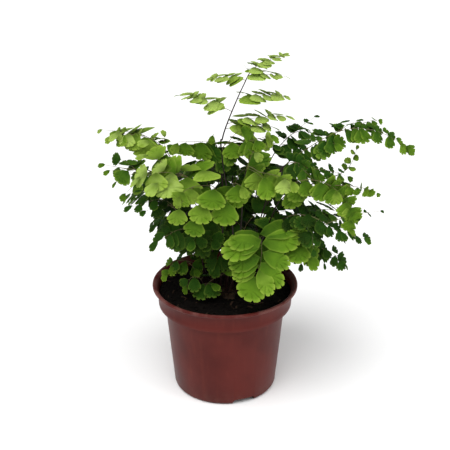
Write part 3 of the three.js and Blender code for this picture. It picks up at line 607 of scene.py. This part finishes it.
def leaf():
    """Green by the leaflet's tone, which is partly painted shade, with veins that fan out from its
    stalk and then fork.
    """
    old_and_shaded_green, mid_green = (0.006, 0.030, 0.003, 1), (0.026, 0.100, 0.008, 1)
    fresh_green, young_green = (0.150, 0.300, 0.016, 1), (0.300, 0.460, 0.055, 1)
    pale_green, vein_green = (0.500, 0.680, 0.150, 1), (0.34, 0.50, 0.045, 1)
    wedge_and_shade_green, edge_green = (0.016, 0.065, 0.004, 1), (0.46, 0.62, 0.085, 1)
    fleck_yellow, under_green = (0.30, 0.36, 0.08, 1), (0.17, 0.33, 0.045, 1)
    finish = Finish("fern_leaf")
    fan_place = finish.node("ShaderNodeUVMap", {"uv_map": "fan"})
    across = finish.node("ShaderNodeSeparateXYZ", {}, {0: fan_place}, output="X") - 0.5
    along = finish.node("ShaderNodeSeparateXYZ", {}, {0: fan_place}, output="Y")
    angle = across.maths("ARCTAN2", across, along)
    out = across.maths("SQRT", across * across + along * along)
    tone = finish.attribute("tone")
    blotch = finish.noise(6, detail=3)
    fleck = finish.noise(0.7, detail=3)
    main_vein = angle.maths("COSINE", angle * MAIN_VEINS) ** 2
    fork_vein = angle.maths("COSINE", angle * (2 * MAIN_VEINS)) ** 2
    outer = out.band(0.42, 0.52)
    vein = (main_vein * (1 - outer) + fork_vein * outer) ** 6
    shade = tone + 0.28 * (blotch - 0.5)
    # The darkest greens stand both for old fronds and for painted shade deep inside the plant.
    colour = finish.ramp(shade, [
        (0, old_and_shaded_green), (0.35, mid_green), (0.7, fresh_green), (0.88, young_green),
        (1, pale_green)])
    colour = finish.mix(vein * 0.22, colour, vein_green)
    # Darker towards the stalk: partly the leaflet's own darker base, partly painted shade where
    # leaflets overlap it.
    colour = finish.mix((1 - out.band(0.0, 0.75)) * 0.6, colour, wedge_and_shade_green)
    edge = (0.6 * finish.attribute("margin") + 0.4 * out).band(0.45, 1.0) * tone.band(-0.2, 0.8)
    colour = finish.mix(edge * 0.45, colour, edge_green)
    colour = finish.mix(fleck.band(0.6, 0.85) * 0.10, colour, fleck_yellow)
    under = finish.attribute("under")
    colour = finish.mix(under * 0.30, colour, under_green)
    sheen = finish.surface(
        Base_Color=colour, Roughness=0.52 + 0.16 * blotch + 0.12 * under,
        Specular_IOR_Level=0.06, Normal=finish.bump(0.75 * vein + 0.25 * fleck, 0.2))
    glow = finish.node("ShaderNodeBsdfTranslucent", {}, {"Color": colour})
    return finish.done(finish.node("ShaderNodeMixShader", {}, {0: LIGHT_THROUGH, 1: sheen, 2: glow}))


# ---- Fronds -------------------------------------------------------------------------------
# Each frond grew as one piece from the rhizome: a wiry dark stalk as thick as a pencil lead, side
# branches that thin out to hairs, and the leaflets, which hang on hairs of their own.

# A frond's name, how light its green is (partly its age and partly painted shade, darkest in the
# inner and low fronds), the foot of its stalk, the way its leaflets face, how far they hang, the
# points its stalk passes through, the leaflets on the stalk's own end (from which point, how many,
# how long), and its branches (from which point, to where, how many leaflets, how long). Places are
# in millimetres. Point 2.5 is midway between the second and the third.
FRONDS = [
    ("front", 0.66, (3, -14), (0, -0.5, 0.87), -0.1,
     [(12, -18, 120), (21, -30, 144), (26, -42, 153), (28, -50, 147), (27, -54, 136), (24, -57, 127)],
     (2.9, 12, 30), []),
    ("front_right", 0.5, (9, -13), (0.1, -0.5, 0.85), 0.3,
     [(20, -23, 125), (30, -31, 143), (43, -34, 150), (56, -40, 147), (63, -43, 139)],
     (2, 7, 22), []),
    ("front_left", 0.78, (-4, -9), (-0.05, -0.85, 0.5), 2,
     [(-2, -22, 141), (-3, -34, 176), (-8, -46, 195), (-17, -52, 199),
      (-27, -55, 198), (-33, -57, 193)],
     (2.9, 6, 15), [(2.6, (-16, -56, 187), 1, 14), (2.4, (-21, -54, 174), 1, 13),
      (4.6, (-34, -60, 185), 1, 14), (2.7, (-9, -55, 198), 1, 16)]),
    ("front_centre", 0.7, (1, -10), (0.05, -0.85, 0.5), 2,
     [(6, -26, 143), (4, -38, 182), (6, -46, 198), (12, -52, 199)],
     (2.6, 4, 17), [(2, (1, -50, 186), 1, 16)]),
    ("centre_right", 0.82, (6, -8), (0.1, -0.8, 0.6), 1.4,
     [(12, -18, 143), (14, -30, 187), (17, -38, 208), (26, -45, 207), (37, -49, 206), (48, -52, 203)],
     (2.8, 8, 17), [(2.8, (21, -36, 220), 2, 16), (2.9, (27, -52, 206), 1, 16),
      (2.4, (16, -44, 199), 1, 9)]),
    ("left_bright", 0.88, (-10, -4), (-0.1, -0.6, 0.8), 0.5,
     [(-14, -10, 140), (-20, -18, 178), (-28, -26, 195), (-38, -32, 201),
      (-50, -36, 203), (-62, -38, 200)],
     (2.6, 8, 19), [(2.6, (-57, -26, 212), 4, 18), (2.5, (-17, -40, 204), 1, 17),
      (3.3, (-50, -44, 198), 3, 19)]),
    ("top_tall", 1.08, (2, 4), (0, -0.12, 1), 0.15,
     [(-3, 3, 203), (-2, 5, 216), (3, 8, 231), (14, 10, 257), (23, 13, 271), (44, 16, 279)],
     (4.9, 9, 8), [(3.25, (-32, 2, 251), 6, 12), (3.6, (44, 14, 247), 6, 11),
      (4.25, (-8, 6, 264), 5, 9), (4.5, (45, 14, 263), 5, 9), (4.7, (16, 12, 271), 2, 4),
      (2.8, (46, 12, 231), 6, 12), (2.55, (34, 8, 224), 5, 13)]),
    ("right_main", 0.48, (13, 2), (0, -0.55, 0.85), 0.5,
     [(30, -2, 149), (44, -4, 192), (66, -8, 214), (92, -12, 229), (116, -16, 229), (138, -19, 218)],
     (2.7, 16, 14), [(3.3, (83, -18, 220), 4, 14), (3.8, (102, 2, 231), 3, 10),
      (4.2, (117, 0, 233), 4, 9)]),
    ("left_upper", 0.85, (-9, 6), (-0.1, -0.5, 0.85), 0.6,
     [(-22, 5, 135), (-33, 8, 174), (-46, 8, 204), (-59, 8, 215), (-72, 8, 220), (-95, 8, 222)],
     (2.9, 9, 9), [(2.7, (-58, -2, 215), 2, 19), (3.1, (-48, 10, 214), 2, 10),
      (3.9, (-81, 2, 221), 4, 16), (4.3, (-87, 4, 218), 3, 12), (3.4, (-64, 6, 218), 2, 9)]),
    ("left_middle", 0.5, (-14, 2), (-0.1, -0.6, 0.8), 0.35,
     [(-26, -2, 136), (-39, -6, 177), (-59, -8, 194), (-73, -10, 196), (-92, -12, 200)],
     (3.9, 3, 10), [(3.4, (-74, -16, 196), 1, 11), (3.9, (-88, -16, 197), 2, 10),
      (3.2, (-83, -14, 187), 2, 11), (2.9, (-77, -14, 178), 3, 11), (2.9, (-67, -20, 191), 3, 7),
      (3.8, (-80, -8, 203), 1, 8)]),
    ("left_low", 0.1, (-15, -5), (-0.2, -0.4, 0.85), 0.3,
     [(-22, -12, 136), (-35, -20, 161), (-48, -26, 177), (-70, -30, 173)],
     (2.1, 9, 12), [(2.5, (-60, -34, 171), 3, 11), (2.3, (-63, -24, 182), 4, 10),
      (2.2, (-50, -30, 165), 2, 9)]),
    ("left_rim", 0.14, (-12, -10), (-0.1, -0.6, 0.8), 0.5,
     [(-10, -16, 129), (-23, -26, 150), (-36, -34, 155), (-50, -40, 149)],
     (2, 6, 18), [(1.8, (-24, -42, 150), 4, 15), (1.5, (-9, -38, 148), 3, 15)]),
    ("left_soil", 0.46, (-17, 0), (-0.2, -0.5, 0.8), 0.5,
     [(-20, 0, 102), (-29, -2, 112), (-40, -4, 113), (-47, -8, 105)],
     (1.9, 8, 12), [(2.3, (-25, -12, 111), 3, 11), (1.6, (-20, -4, 114), 3, 11)]),
    ("soil_front", 0.36, (-9, -14), (-0.1, -0.5, 0.85), 0.4,
     [(-16, -17, 94), (-20, -19, 105), (-27, -21, 107), (-30, -22, 101)],
     (1.9, 4, 13), [(1.5, (-11, -25, 103), 2, 14), (1.3, (-1, -22, 111), 3, 13)]),
    ("centre_left", 0.6, (-3, 8), (-0.05, -0.8, 0.6), 2,
     [(-16, 8, 127), (-14, 6, 172), (-6, 0, 207), (-11, -3, 216), (-23, -5, 217), (-36, -8, 218)],
     (3.1, 7, 17), [(3, (-9, -2, 222), 3, 11)]),
    ("centre", 0.68, (5, -3), (0, -0.6, 0.8), 1,
     [(10, -4, 137), (1, -10, 183), (-2, -12, 213), (8, -13, 220), (21, -14, 221), (33, -14, 225)],
     (3, 9, 14), [(3.6, (21, -20, 214), 1, 14), (4.4, (29, -8, 218), 2, 13),
      (3.5, (10, -10, 227), 1, 13)]),
    ("right_back", 0.25, (8, 8), (0.1, -0.3, 0.95), 0.3,
     [(21, 16, 141), (35, 22, 187), (48, 26, 207), (60, 28, 214), (72, 30, 209)],
     (2.6, 8, 12), [(2.8, (62, 16, 202), 5, 12), (2.4, (36, 10, 210), 4, 12),
      (2.7, (71, 34, 223), 4, 8)]),
    ("right_second", 0.4, (15, -4), (0.15, -0.5, 0.8), 0.4,
     [(29, -12, 158), (42, -18, 197), (53, -22, 206), (66, -26, 201), (88, -30, 193)],
     (2.5, 10, 12), [(3.8, (93, -22, 195), 4, 9), (2.9, (66, -34, 198), 3, 12)]),
    ("right_young", 0.8, (17, 1), (0.2, -0.6, 0.75), 0.1,
     [(40, 0, 153), (67, -6, 181), (88, -12, 192), (97, -14, 201), (101, -16, 214)],
     (3, 7, 7), []),
    ("right_hanging", 0.66, (16, -8), (0.1, -0.8, 0.6), 1,
     [(34, -20, 153), (46, -32, 186), (60, -38, 198), (79, -42, 195), (93, -46, 181), (96, -48, 164)],
     (2.2, 12, 14), [(4, (115, -34, 187), 6, 7)]),
    ("right_low", 0.2, (12, -12), (0.15, -0.4, 0.9), 0.3,
     [(29, -22, 141), (46, -34, 165), (65, -42, 170), (84, -48, 161), (104, -50, 155)],
     (2.2, 10, 12), [(3, (67, -52, 148), 4, 12), (3.6, (117, -40, 173), 4, 6),
      (2.7, (86, -50, 157), 3, 11)]),
    ("right_lowest", 0.2, (18, -7), (0.2, -0.5, 0.8), 0.4,
     [(27, -12, 117), (48, -20, 135), (67, -26, 138), (83, -30, 134), (92, -32, 126)],
     (2.2, 9, 12), [(2.6, (59, -34, 127), 3, 11), (3.2, (76, -38, 129), 3, 10)]),
    # The inner fronds are painted almost black: painted shade for the dark inside of the plant.
    ("inner_right", 0.06, (9, -2), (0.1, -0.4, 0.9), 0.3,
     [(20, -2, 132), (30, -4, 148), (44, -6, 158), (61, -6, 156)],
     (1.8, 6, 20), []),
    ("inner_front", 0.06, (0, -4), (-0.1, -0.5, 0.85), 0.4,
     [(1, -8, 125), (-9, -12, 152), (-15, -16, 148)],
     (1.3, 6, 20), [(1.2, (-6, -16, 119), 4, 19)]),
    ("inner_left", 0.06, (-8, 1), (-0.1, -0.3, 0.9), 0.3,
     [(-16, 2, 140), (-28, 4, 168), (-42, 8, 178), (-56, 10, 176)],
     (1.8, 6, 20), [(2.2, (-28, -8, 178), 3, 19)]),
    ("inner_back", 0.06, (12, 6), (0.1, -0.1, 1), 0.3,
     [(20, 10, 150), (34, 14, 178), (52, 18, 184), (68, 20, 176)],
     (1.8, 6, 20), [(2.2, (38, 32, 180), 3, 19)]),
    ("inner_low_right", 0.06, (17, 7), (0.1, -0.4, 0.9), 0.4,
     [(27, 12, 118), (38, 16, 134), (52, 18, 138), (66, 18, 130)],
     (1.6, 6, 20), [(2.1, (42, -2, 120), 3, 19)]),
    ("inner_low_left", 0.06, (-12, 11), (-0.1, -0.4, 0.9), 0.4,
     [(-18, 17, 116), (-25, 22, 134), (-36, 25, 140), (-48, 27, 132)],
     (1.6, 6, 20), [(2.1, (-18, 12, 142), 3, 19)]),
    ("inner_centre", 0.06, (-1, 5), (0, -0.4, 0.9), 0.4,
     [(2, 9, 128), (6, 12, 152), (14, 14, 164), (26, 14, 164)],
     (1.6, 6, 20), [(2, (-8, 12, 160), 3, 19)]),
    ("inner_mid", 0.06, (4, 1), (0, -0.5, 0.85), 0.4,
     [(11, 1, 122), (17, -5, 146), (27, -9, 158), (40, -9, 154)],
     (1.4, 5, 20), [(1.8, (0, -12, 158), 2, 19)]),
    ("inner_high", 0.06, (6, 4), (0, -0.5, 0.85), 0.4,
     [(7, 6, 140), (8, 9, 176), (18, 10, 190), (34, 8, 190)],
     (1.6, 5, 20), [(2, (-16, 6, 186), 2, 18)]),
    ("back_top", 0.3, (2, 10), (0, 0.2, 1), 0.4,
     [(4, 18, 150), (8, 28, 186), (16, 38, 200), (26, 48, 200)],
     (2.2, 6, 16), [(2.4, (-8, 40, 196), 4, 15)]),
    ("back_left", 0.3, (-8, 11), (-0.2, 0.4, 0.9), 0.4,
     [(-18, 24, 140), (-30, 42, 165), (-44, 60, 172), (-60, 76, 160)],
     (2, 7, 20), [(2.3, (-58, 44, 172), 3, 17), (2.5, (-26, 70, 168), 3, 17)]),
    ("back_centre", 0.3, (-2, 15), (0, 0.5, 0.9), 0.4,
     [(-4, 26, 142), (-6, 44, 170), (-8, 64, 172), (-8, 84, 156)],
     (2, 7, 20), [(2.2, (-22, 56, 158), 3, 17), (2.5, (12, 72, 160), 3, 17)]),
    ("back_right", 0.3, (6, 14), (0.2, 0.4, 0.9), 0.4,
     [(14, 26, 142), (24, 44, 168), (36, 62, 172), (50, 78, 160)],
     (2, 7, 20), [(2.3, (50, 46, 172), 3, 17), (2.6, (26, 80, 158), 3, 17)]),
    ("back_far_left", 0.3, (-14, 8), (-0.4, 0.2, 0.9), 0.4,
     [(-30, 16, 132), (-50, 28, 154), (-68, 40, 158), (-80, 50, 150)],
     (2, 6, 19), [(2.3, (-72, 22, 158), 3, 16), (2.5, (-56, 54, 150), 3, 16)]),
    ("back_far_right", 0.3, (15, 9), (0.4, 0.2, 0.9), 0.4,
     [(32, 18, 136), (54, 32, 160), (76, 44, 162), (96, 54, 150)],
     (2, 6, 19), [(2.3, (82, 28, 164), 3, 16), (2.5, (64, 62, 152), 3, 16)]),
    ("back_low_left", 0.3, (-10, 14), (-0.2, 0.5, 0.8), 0.4,
     [(-14, 30, 112), (-26, 48, 124), (-38, 64, 118), (-46, 76, 104)],
     (1.8, 6, 20), [(2.2, (-50, 52, 118), 3, 17), (2.4, (-20, 68, 110), 3, 17)]),
    ("back_low_right", 0.3, (11, 13), (0.2, 0.5, 0.8), 0.4,
     [(18, 30, 112), (30, 46, 124), (42, 60, 118), (52, 72, 104)],
     (1.8, 6, 20), [(2.2, (54, 44, 120), 3, 17), (2.4, (26, 66, 110), 3, 17)]),
    ("back_low_centre", 0.3, (3, 17), (0, 0.5, 0.85), 0.4,
     [(4, 30, 112), (5, 46, 126), (6, 62, 122), (6, 76, 108)],
     (1.6, 7, 20), [(2, (-14, 50, 122), 3, 17), (2.2, (26, 54, 120), 3, 17)]),
    ("side_right", 0.35, (19, 4), (0.3, -0.1, 0.9), 0.4,
     [(40, 6, 130), (62, 12, 148), (84, 18, 150), (102, 24, 142)],
     (2, 6, 17), [(2.3, (82, 4, 152), 3, 15), (2.5, (74, 30, 144), 3, 15)]),
    ("side_left", 0.2, (-18, 5), (-0.4, 0, 0.9), 0.4,
     [(-28, 10, 120), (-40, 16, 140), (-50, 22, 142), (-58, 28, 134)],
     (1.8, 5, 17), [(2.3, (-54, 8, 142), 3, 15)]),
]

STALK_FOOT_HEIGHT = RHIZOME_TOP + 0.3
STALK_STEPS = 8
STALK_RADII, STALK_END_RADII = (0.74, 0.36), (0.32, 0.10)
BRANCH_STEPS = 12
BRANCH_BOW = 0.1
BRANCH_RADII = (0.24, 0.10)
LEAFLET_STALK_RADII = [0.12, 0.08]
LEAFLET_STALK_END = Vector((0, 0.12, 0))
NECK_LENGTH = 0.6
LEAFLET_RISE = 1.1
FIRST_SPREAD, LAST_SPREAD = math.radians(86), math.radians(38)
SHINGLE = math.radians(14)
SCATTER = math.radians(20)
PAIR_STEP = 0.06
FIRST_LEAFLET = 0.24
FIRST_SIZE, SIZE_LOSS, SIZE_SCATTER = 1.08, 0.42, 0.12
TONE_SCATTER, TONE_GAIN = 0.14, 0.26
LARGE_LEAFLET = 25
OLD_AND_SHADED_GREEN = 0.5

# The fronds whose names begin so carry their leaflets in pairs, the others on alternate sides.
OPPOSITE = ("inner", "back", "side", "left_rim", "left_upper", "right_back", "right_low",
            "right_main", "right_second", "right_hanging", "top_tall")


def scatter(seed):
    """An even scatter from -1 to 1 that is the same every time."""
    return 2 * (((seed * seed * 7349 + seed * 9301 + 49297) % 233280) / 233280) - 1


class Line:
    """A smooth curve, followed from share 0 to share 1."""

    def tangent(self, share):
        before, after = max(0, share - 0.0001), min(1, share + 0.0001)
        return (self.point(after) - self.point(before)).normalized()

    def sampled(self, count):
        return [self.point(i / count) for i in range(count + 1)]


class Stalk(Line):
    def __init__(self, foot, points):
        inner = [Vector((*foot, STALK_FOOT_HEIGHT)), *map(Vector, points)]
        self.spans = len(points)
        self.points = [2 * inner[0] - inner[1], *inner, 2 * inner[-1] - inner[-2]]

    def point(self, share):
        place = share * self.spans
        span = min(int(place), self.spans - 1)
        t = place - span
        p0, p1, p2, p3 = self.points[span:span + 4]
        return 0.5 * (
            2 * p1 + (p2 - p0) * t + (2 * p0 - 5 * p1 + 4 * p2 - p3) * t ** 2
            + (3 * p1 - p0 - 3 * p2 + p3) * t ** 3)


class Branch(Line):
    def __init__(self, start, end):
        self.start, self.end = start, Vector(end)
        self.middle = (self.start + self.end) / 2
        self.middle.z += BRANCH_BOW * (self.end - self.start).length

    def point(self, share):
        rest = 1 - share
        return rest ** 2 * self.start + 2 * rest * share * self.middle + share ** 2 * self.end


def leaflets_along(line, first, count, size, seed, face, droop, paired):
    """Each leaflet's foot, the ways it points and faces, its length, how far along the line it
    is, and whether it ends the line. They overlap like shingles."""
    for i in range(count):
        last = i == count - 1
        progress = i / (count - 1) if count > 1 else 0
        share = 1 if last else first + (1 - first) * progress
        lean = FIRST_SPREAD + (LAST_SPREAD - FIRST_SPREAD) * progress
        grown = size * (FIRST_SIZE - SIZE_LOSS * progress)
        side = 1 if i % 2 == 0 else -1
        for turn in (side, -side) if paired and not last else (side,):
            chance = seed + 3 * i + (0 if turn == side else 11)
            place = share if turn == side else min(1, share + PAIR_STEP * scatter(chance + 2))
            tangent = line.tangent(place)
            across = tangent.cross(face).normalized()
            spread = 0 if last else turn * (lean + SCATTER * scatter(chance))
            along = tangent * math.cos(spread) + across * math.sin(spread)
            along.z -= droop
            along.normalize()
            roll = -SHINGLE * turn + SCATTER * scatter(chance + 1)
            turned_face = Matrix.Rotation(roll, 3, along) @ face
            length = grown * (1 + SIZE_SCATTER * scatter(chance + 2))
            yield line.point(place), along, turned_face, length, progress, last


def leaflet_place(foot, along, face, size):
    """The matrix that puts a fan of unit size at its place, in millimetres."""
    right = along.cross(face).normalized()
    normal = right.cross(along)
    axes = Matrix((right * size, along * size, normal * size)).transposed()
    rise = along * NECK_LENGTH + normal * LEAFLET_RISE
    return Matrix.Translation(foot + rise) @ axes.to_4x4()


def hair(name, strands, roundness):
    """Round wires through points in millimetres, with a radius at each point, as one mesh."""
    deselect()
    bpy.ops.curve.primitive_bezier_curve_add()
    wire = bpy.context.object
    wire.name = name
    wire.data.splines.clear()
    wire.data.dimensions = "3D"
    wire.data.bevel_depth = MM
    wire.data.bevel_resolution = roundness
    wire.data.use_fill_caps = True
    for points, radii in strands:
        spline = wire.data.splines.new("POLY")
        spline.points.add(len(points) - 1)
        for knot, point, radius in zip(spline.points, points, radii):
            knot.co = (*(point * MM), 1)
            knot.radius = radius
    bpy.ops.object.convert(target="MESH")
    return bpy.context.object


def taper(count, thick, thin):
    """The radii of a wire that thins evenly over a number of steps."""
    return [thick + (thin - thick) * i / count for i in range(count + 1)]


def stem_skin():
    old_black, twig_brown = (0.018, 0.007, 0.005, 1), (0.12, 0.075, 0.040, 1)
    hair_green = (0.14, 0.19, 0.04, 1)
    finish = Finish("fern_stem")
    young = finish.attribute("young")
    streak = finish.noise(1.2, detail=3, stretch=(1, 1, 0.12))
    shade = young + 0.3 * (streak - 0.5)
    colour = finish.mix(shade.band(0.1, 0.9), old_black, twig_brown)
    colour = finish.mix(shade.band(0.6, 1.1) * 0.7, colour, hair_green)
    return finish.done(finish.surface(
        Base_Color=colour, Roughness=0.4 + 0.2 * streak, Specular_IOR_Level=0.3,
        Normal=finish.bump(streak, 0.06)))


LEAF, STEM = leaf(), stem_skin()

for number, (name, tone, foot, face, droop, points, end, branches) in enumerate(FRONDS):
    node = "frond_" + name
    seed = 100 * (number + 1)
    habit = Vector(face), droop, name.startswith(OPPOSITE)
    stalk = Stalk(foot, points)
    first, count, size = end
    leaflets = list(leaflets_along(stalk, first / stalk.spans, count, size, seed, *habit))
    knots = stalk.sampled(STALK_STEPS * stalk.spans)
    bare = int(STALK_STEPS * first)
    strands = [(knots[:bare + 1], taper(bare, *STALK_RADII)),
               (knots[bare:], taper(len(knots) - bare - 1, *STALK_END_RADII))]
    for i, (leaves_at, tip, leaf_count, leaf_size) in enumerate(branches):
        branch = Branch(stalk.point(leaves_at / stalk.spans), tip)
        strands.append((branch.sampled(BRANCH_STEPS), taper(BRANCH_STEPS, *BRANCH_RADII)))
        leaflets += leaflets_along(
            branch, FIRST_LEAFLET, leaf_count, leaf_size, seed + 31 * (i + 1), *habit)

    fans, stalklets = [], []
    for i, (base, along, leaf_face, length, progress, last) in enumerate(leaflets):
        place = leaflet_place(base, along, leaf_face, length)
        large = size > LARGE_LEAFLET
        # Dark fronds, the old ones and those painted dark for shade, take the deeply cut shapes.
        shapes = [LONG_FAN] if large else OLD_FANS if tone < OLD_AND_SHADED_GREEN else YOUNG_FANS
        if last and progress:
            shapes = [ROUND_FAN] if large else [WEDGE_FAN]
        chance = (scatter(seed + 7 * i + 3) + 1) / 2
        fan = own_copy(shapes[int(chance * len(shapes))])
        fan.data.transform(Matrix.Scale(MM, 4) @ place)
        shade = tone + TONE_SCATTER * scatter(seed + 5 * i + 1) + TONE_GAIN * (progress - 0.5)
        fan.data.attributes["tone"].data.foreach_set("value", [shade] * len(fan.data.vertices))
        fans.append(fan)
        stalklets.append(([base, place @ LEAFLET_STALK_END], LEAFLET_STALK_RADII))
    foliage = join(node + "_leaflets", fans)
    finished(foliage, node, LEAF)

    # The bare stalk, what branches from it, and the leaflets' own stalks are each younger.
    wires = []
    for part, (pieces, roundness, young) in enumerate(
            ((strands[:1], 2, 0.1), (strands[1:], 1, 0.8), (stalklets, 0, 1))):
        wire = hair(f"{node}_wire_{part}", pieces, roundness)
        age = wire.data.attributes.new("young", "FLOAT", "POINT")
        age.data.foreach_set("value", [young] * len(wire.data.vertices))
        wires.append(wire)
    stem = join(node + "_stem", wires)
    finished(stem, node, STEM, edge_angle=math.radians(60))

for blank in (*YOUNG_FANS, *OLD_FANS, LONG_FAN):
    bpy.data.objects.remove(blank)


# ---- Floor, light and camera --------------------------------------------------------------
# A white floor that runs on behind, the soft light of a large window from the upper left in
# front, a weak one from the right, and white surroundings.

PLANT_MIDDLE = (0, 0, 0.15)
CAMERA_PLACE = (0, -0.765, 0.483)
CAMERA_PITCH = math.radians(23.9)
CAMERA_LENS = 82.8

deselect()
bpy.ops.mesh.primitive_plane_add(size=30)
floor = bpy.context.object
floor.name = "floor"
paper = Finish("white_floor")
matt_white = paper.surface(Base_Color=(0.93, 0.93, 0.93, 1), Roughness=0.9)
floor.data.materials.append(paper.done(matt_white))

world = bpy.data.worlds.new("white_room")
bpy.context.scene.world = world
world.use_nodes = True
surroundings = world.node_tree.nodes["Background"].inputs
surroundings["Color"].default_value = (1, 1, 1, 1)
surroundings["Strength"].default_value = 0.5


def soft_light(kind, name, place, target, power, **shape):
    deselect()
    bpy.ops.object.light_add(type=kind, location=place)
    light = bpy.context.object
    light.name = name
    light.data.energy = power
    for setting, value in shape.items():
        setattr(light.data, setting, value)
    light.rotation_euler = (Vector(target) - Vector(place)).to_track_quat("-Z", "Y").to_euler()


soft_light("SUN", "sky_window", (-0.4, -0.85, 1.9), PLANT_MIDDLE, 2.6, angle=math.radians(50))
soft_light("AREA", "reflector", (1.1, -0.5, 0.7), PLANT_MIDDLE, 5, shape="DISK", size=0.9)

deselect()
bpy.ops.object.camera_add(
    location=CAMERA_PLACE, rotation=(math.radians(90) - CAMERA_PITCH, 0, 0))
camera = bpy.context.object
camera.data.sensor_width = 36
camera.data.lens = CAMERA_LENS
camera.data.clip_start = 0.05
camera.data.dof.use_dof = False
bpy.context.scene.camera = camera
bpy.context.scene.view_settings.view_transform = "Standard"
